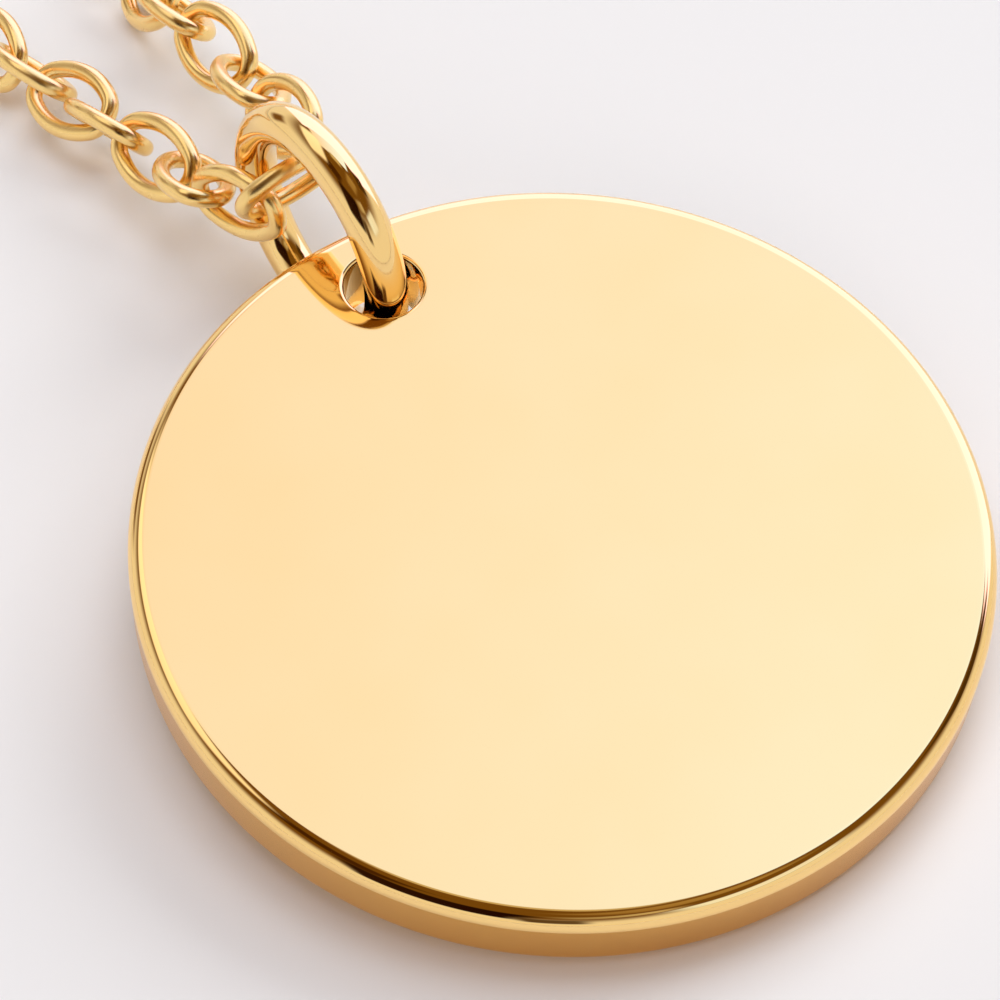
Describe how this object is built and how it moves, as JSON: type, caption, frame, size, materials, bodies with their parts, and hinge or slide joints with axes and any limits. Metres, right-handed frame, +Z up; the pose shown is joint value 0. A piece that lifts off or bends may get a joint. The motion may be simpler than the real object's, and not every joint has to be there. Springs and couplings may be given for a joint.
{
  "type": "medallion pendant necklace",
  "caption": "Plain polished round medallion on a closed jump ring, with its cable chain of oval links laid down as a closed loop.",
  "frame": {"origin": "middle of the laid necklace's bounding box, on the surface that it lies on", "axes": "+Z up, -Y from the middle of the loop towards the medallion, so the disc's hole side faces +Y; +X to the right seen from above"},
  "size_m": [0.0946, 0.1574, 0.0067],
  "materials": {
    "disc_gold": "mirror-polished, gold-plated",
    "ring_gold": "polished, gold-plated",
    "chain_gold": "polished, gold-plated"
  },
  "bodies": {
    "root": {"disc": "disc_gold", "jump_ring": "ring_gold", "chain_left": "chain_gold", "chain_right": "chain_gold", "clasp": "ring_gold", "end_ring": "ring_gold"}
  },
  "joints": []
}
